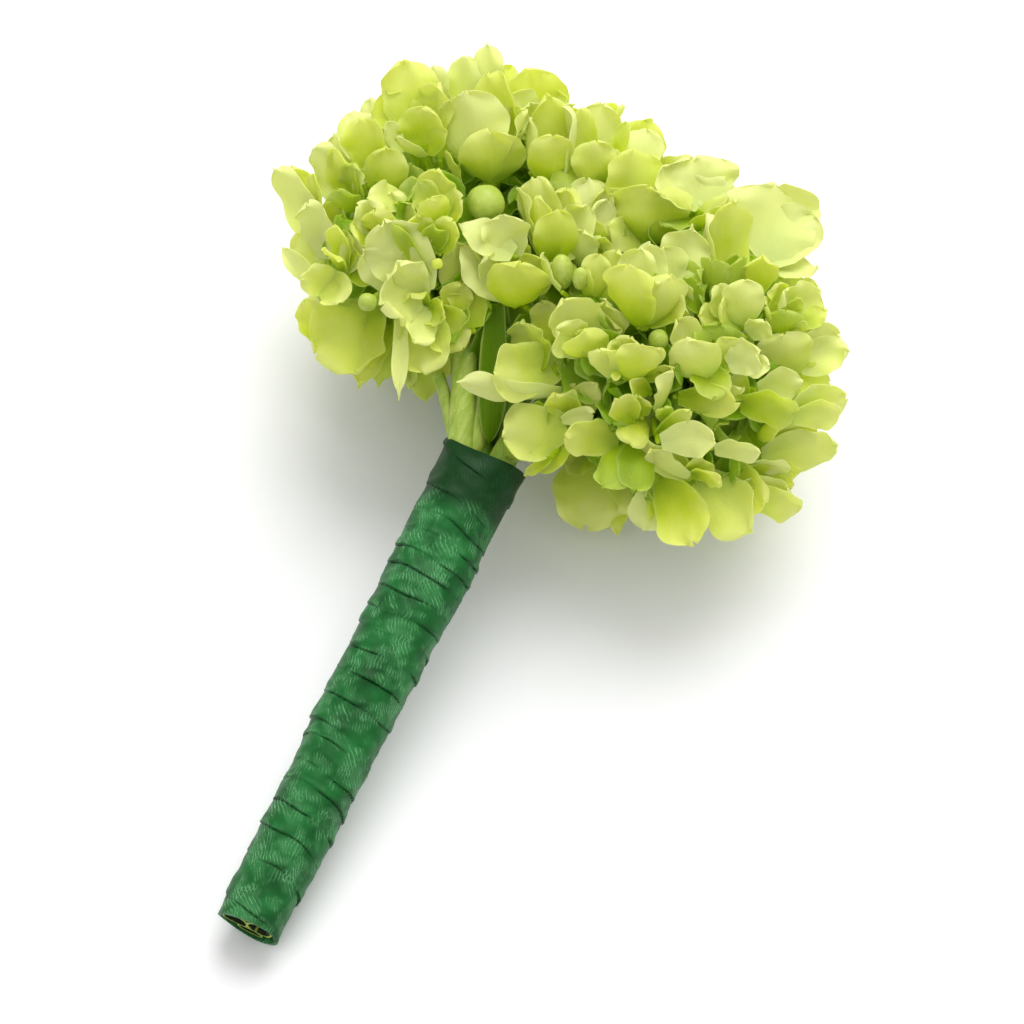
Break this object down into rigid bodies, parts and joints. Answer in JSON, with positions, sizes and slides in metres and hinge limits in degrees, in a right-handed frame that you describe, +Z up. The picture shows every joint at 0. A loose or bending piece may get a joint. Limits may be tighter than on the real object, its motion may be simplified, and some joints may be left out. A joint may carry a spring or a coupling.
{
  "type": "boutonniere",
  "caption": "Boutonniere of domed lime-green hydrangea clusters on cut stems wound in green floral tape, lying on its side.",
  "frame": {"origin": "middle of the overall box's underside, on the surface that the boutonniere lies on", "axes": "+Y along the handle from the cut end of the stems to the flowers, +X across the head, +Z up from the surface"},
  "size_m": [0.0756, 0.117, 0.045],
  "materials": {
    "sepal": "satin",
    "bud": "satin",
    "stem": "satin",
    "floral_tape": "satin"
  },
  "bodies": {
    "root": {"tape_wrap": "floral_tape", "left_stem": "stem", "middle_stem": "stem", "right_stem": "stem", "left_floret_01": "sepal", "left_floret_02": "sepal", "left_floret_03": "sepal", "left_floret_04": "sepal", "left_floret_05": "sepal", "left_floret_06": "sepal", "left_floret_07": "sepal", "left_floret_08": "sepal", "left_floret_09": "sepal", "left_floret_10": "sepal", "left_floret_11": "sepal", "left_floret_12": "sepal", "left_floret_13": "sepal", "left_floret_14": "sepal", "left_floret_15": "sepal", "left_floret_16": "sepal", "left_floret_17": "sepal", "middle_floret_01": "sepal", "middle_floret_02": "sepal", "middle_floret_03": "sepal", "middle_floret_04": "sepal", "middle_floret_05": "sepal", "middle_floret_06": "sepal", "middle_floret_07": "sepal", "right_floret_01": "sepal", "right_floret_02": "sepal", "right_floret_03": "sepal", "right_floret_04": "sepal", "right_floret_05": "sepal", "right_floret_06": "sepal", "right_floret_07": "sepal", "right_floret_08": "sepal", "right_floret_09": "sepal", "right_floret_10": "sepal", "right_floret_11": "sepal", "right_floret_12": "sepal", "right_floret_13": "sepal", "right_floret_14": "sepal", "right_floret_15": "sepal", "right_floret_16": "sepal", "right_floret_17": "sepal", "right_floret_18": "sepal", "right_floret_19": "sepal", "right_floret_20": "sepal", "right_floret_21": "sepal", "right_floret_22": "sepal", "right_floret_23": "sepal", "right_floret_24": "sepal", "right_floret_25": "sepal", "right_floret_26": "sepal", "left_bud_01": "bud", "left_bud_02": "bud", "middle_bud_01": "bud", "middle_bud_02": "bud", "right_bud_01": "bud", "right_bud_02": "bud"}
  },
  "joints": []
}
